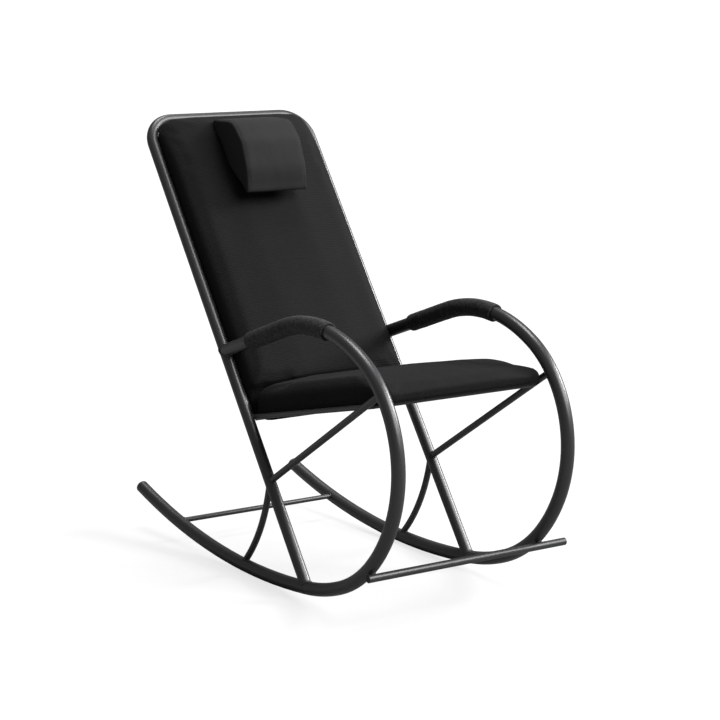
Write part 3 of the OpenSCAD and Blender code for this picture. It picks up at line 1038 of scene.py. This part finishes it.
class CHAIR_OT_frame_finish(bpy.types.Operator):
    """Coats the tubes, rails and tabs, and finishes the plugs, screws and boards"""

    bl_idname = "chair.frame_finish"
    bl_label = "Frame finish"

    def execute(self, context):
        coat = finished("powder_coat", powder_coat, context.scene.chair_frame)
        plastic = finished("moulded_plastic", moulded_plastic)
        zinc = finished("zinc_plate", zinc_plate)
        plywood = finished("stained_plywood", stained_plywood)
        for material, names in (
            (coat, TUBES),
            (plastic, ("foot_bar_caps", "rocker_end_caps")),
            (zinc, ("seat_screws", "back_screws")),
            (plywood, ("seat_board", "back_board")),
        ):
            for name in names:
                paint_node(name, material)
        return {"FINISHED"}


def bead_ring(at, axis, radius, bead, steps):
    """A spun ring of weld metal, as a bmesh: radius wide and bead thick, round an axis."""
    ring = bmesh.new()
    place = Matrix.Translation(at) @ axis.to_track_quat("Z", "Y").to_matrix().to_4x4()
    profile = place @ Matrix.Translation((radius, 0, 0)) @ Matrix.Rotation(math.pi / 2, 4, "X")
    start = bmesh.ops.create_circle(ring, segments=8, radius=bead, matrix=profile)["verts"]
    bmesh.ops.spin(
        ring, geom=start + ring.edges[:], cent=at, axis=axis, angle=2 * math.pi, steps=steps,
        use_merge=True)
    return ring


def weld(beads, at, along, radius, on, axis, other, bead):
    """Adds a bead to a bmesh where a tube, which runs along through at, meets another of
    radius other, which runs along axis through on: a spun ring moved to their saddle."""
    along, axis, at, on = (Vector(v) for v in (along, axis, at, on))
    along.normalize()
    axis.normalize()
    ring = bead_ring(at, along, radius, bead, 56)
    side = along.cross(axis)
    reach = side.length
    for vert in ring.verts:
        out = vert.co - at
        out -= along * out.dot(along)
        spoke = out.normalized() * radius
        offset = (at + spoke - on).cross(axis)
        half = offset.dot(side) / reach ** 2
        rest = (offset.length_squared - other ** 2) / reach ** 2
        depth = -half - math.sqrt(max(half * half - rest, 0.0))
        beat = math.sin(math.atan2(spoke.dot(axis), spoke.dot(side)) * 9)
        vert.co += along * (depth + 0.00025 * beat) + (out - spoke) * (0.12 * beat)
    bmesh.ops.recalc_face_normals(ring, faces=ring.faces)
    add_up(beads, ring)


class CHAIR_OT_weld_beads(bpy.types.Operator):
    """Runs a painted weld bead round every tube end that meets another tube"""

    bl_idname = "chair.weld_beads"
    bl_label = "Weld beads"

    def execute(self, context):
        settings = context.scene.chair_frame
        coat = finished("powder_coat", powder_coat, settings)
        bead = settings.bead
        up = (0, math.sin(RECLINE), math.cos(RECLINE))
        bm = bmesh.new()
        arm, arm_way = loop_place(5, 1)
        foot, foot_way = loop_place(1, 0.006)
        brow, brow_way = loop_place(4, 0.715)
        for x in (-HALF_TRACK, HALF_TRACK):
            post = (x, UPRIGHT_Y, UPRIGHT_Z)
            weld(bm, (x, *arm), (0, *arm_way), LOOP_R, post, up, UPRIGHT_R, bead)
            weld(bm, post, (0, -up[1], -up[2]), UPRIGHT_R, (x, *foot), (0, *foot_way),
                 LOOP_R, bead)
            weld(bm, (x, *BRACE_FRONT), BRACE_RISE, BRACE_R, (x, *brow), (0, *brow_way),
                 LOOP_R, bead * 0.8)
            weld(bm, (x, *BRACE_REAR), -BRACE_RISE, BRACE_R, post, up, UPRIGHT_R, bead * 0.8)
            self.curved_brace(bm, x, post, up, bead * 0.8)
            outward = (math.copysign(1, x), 0, 0)
            angle = math.asin(REAR_ROD[0] / BENDS[0][0])
            loop_z = LOOP_R + BENDS[0][0] * (1 - math.cos(angle))
            weld(bm, (0, *REAR_ROD), outward, ROD_R, (x, REAR_ROD[0], loop_z),
                 (0, math.cos(angle), math.sin(angle)), LOOP_R, bead * 0.7)
            rail = math.copysign(HALF_TRACK - RAIL_INSET, x)
            front = (0, -math.cos(SEAT_SLOPE), math.sin(SEAT_SLOPE))
            start = Vector((rail, RAIL_Y, RAIL_Z)) + Vector(front) * 0.1
            weld(bm, start, (0, -front[1], -front[2]), RAIL_R, post, up, UPRIGHT_R, bead * 0.6)
            self.bar_bead(bm, x, bead * 0.9)
        from_bmesh("weld_beads", bm, coat, "frame_paint")
        return {"FINISHED"}

    def bar_bead(self, bm, x, bead):
        """A bead all round the spot where the foot bar lies on a side loop."""
        hub = Vector((x, *FOOT_BAR))
        places = [loop_place(2, k / 200) for k in range(201)]
        near = min((Vector((x, y, z)) for (y, z), _ in places), key=lambda v: (v - hub).length)
        out = (hub - near).normalized()
        spot = near + out * (LOOP_R - 0.0004)
        level = out.cross(Vector((1, 0, 0)))
        ring = bead_ring(spot, out, 0.006, bead, 40)
        for vert in ring.verts:
            far = vert.co - spot
            flat = far - out * far.dot(out)
            vert.co += flat * 0.05 * math.sin(7 * math.atan2(flat.x, flat.dot(level)))
        bmesh.ops.recalc_face_normals(ring, faces=ring.faces)
        add_up(bm, ring)

    def curved_brace(self, bm, x, post, up, bead):
        """Beads at the two ends of one curved brace."""
        foot_y, foot_z, rise, radius = 0.054, 0.024, math.radians(44), 0.430
        hub_y = foot_y + radius * math.sin(rise)
        hub_z = foot_z + radius * math.cos(rise)
        for heading, tube, axis, other, way in (
            (math.radians(46), (x, 0, LOOP_R), (0, 1, 0.014), LOOP_R, -1),
            (math.radians(72), post, up, UPRIGHT_R, 1),
        ):
            y = hub_y - radius * math.sin(heading)
            z = hub_z - radius * math.cos(heading)
            along = Vector((0, -math.cos(heading), math.sin(heading))) * way
            weld(bm, Vector((x, y, z)) - along * 0.03, along, BRACE_R, tube, axis, other, bead)


# Stage ------------------------------------------


def sun(name, towards, strength, angle):
    """A soft distant light that shines from a direction."""
    data = bpy.data.lights.new(name, "SUN")
    data.energy = strength
    data.angle = math.radians(angle)
    lamp = bpy.data.objects.new(name, data)
    lamp.rotation_euler = Vector(towards).to_track_quat("Z", "Y").to_euler()
    bpy.context.scene.collection.objects.link(lamp)


def light_surround(strength):
    """Lights the chair evenly from all round, in front of a white backdrop."""
    world = bpy.data.worlds.new("surround")
    bpy.context.scene.world = world
    world.use_nodes = True
    tree = world.node_tree
    glow = tree.nodes["Background"]
    glow.inputs["Color"].default_value = (1, 1, 1, 1)
    path = tree.nodes.new("ShaderNodeLightPath")
    level = tree.nodes.new("ShaderNodeMapRange")
    level.inputs["To Min"].default_value = strength
    level.inputs["To Max"].default_value = 1.0
    tree.links.new(path.outputs["Is Camera Ray"], level.inputs["Value"])
    tree.links.new(level.outputs["Result"], glow.inputs["Strength"])


class CHAIR_OT_stage(bpy.types.Operator):
    """Sets the floor, the lights and the camera"""

    bl_idname = "chair.stage"
    bl_label = "Stage"

    def execute(self, context):
        settings = context.scene.chair_stage
        bm = bmesh.new()
        bmesh.ops.create_grid(bm, x_segments=8, y_segments=8, size=150)
        bmesh.ops.translate(bm, vec=(0, 0, -0.0004), verts=bm.verts)
        floor = from_bmesh("floor", bm, finished("studio_paper", studio_floor, settings))
        light_surround(settings.sky)
        for name, towards, angle in SUNS:
            sun(name, towards, getattr(settings, name), angle)
        data = bpy.data.cameras.new("camera")
        data.sensor_width = 36
        data.lens = CAMERA_LENS
        data.shift_x, data.shift_y = CAMERA_SHIFT
        camera = bpy.data.objects.new("camera", data)
        camera.location = CAMERA_AT
        camera.rotation_euler = Vector(CAMERA_TOWARDS).to_track_quat("-Z", "Y").to_euler()
        context.scene.collection.objects.link(camera)
        context.scene.camera = camera
        context.scene.view_settings.view_transform = "Standard"
        return {"FINISHED"}


# Panel ------------------------------------------

GROUPS = (
    ("chair_frame", FrameSettings), ("chair_grips", GripSettings),
    ("chair_cushions", CushionSettings), ("chair_stage", StageSettings),
)
STEPS = (
    CHAIR_OT_frame_finish, CHAIR_OT_weld_beads, CHAIR_OT_arm_grips, CHAIR_OT_seat_cushion,
    CHAIR_OT_back_cushion, CHAIR_OT_headrest, CHAIR_OT_board_side, CHAIR_OT_stage,
)


class CHAIR_PT_panel(bpy.types.Panel):
    """Settings and steps of the chair"""

    bl_idname = "CHAIR_PT_panel"
    bl_label = "Camp rocking chair"
    bl_space_type = "VIEW_3D"
    bl_region_type = "UI"
    bl_category = "Chair"

    def draw(self, context):
        for name, group in GROUPS:
            box = self.layout.box()
            for key in group.__annotations__:
                box.prop(getattr(context.scene, name), key)
        for step in STEPS:
            self.layout.operator(step.bl_idname)


def register():
    for name, group in GROUPS:
        bpy.utils.register_class(group)
        setattr(bpy.types.Scene, name, bpy.props.PointerProperty(type=group))
    for step in STEPS + (CHAIR_PT_panel,):
        bpy.utils.register_class(step)


def unregister():
    for step in reversed(STEPS + (CHAIR_PT_panel,)):
        bpy.utils.unregister_class(step)
    for name, group in reversed(GROUPS):
        delattr(bpy.types.Scene, name)
        bpy.utils.unregister_class(group)


def main():
    register()
    for step in STEPS:
        getattr(bpy.ops.chair, step.bl_idname.split(".")[1])()


if __name__ == "__main__":
    main()
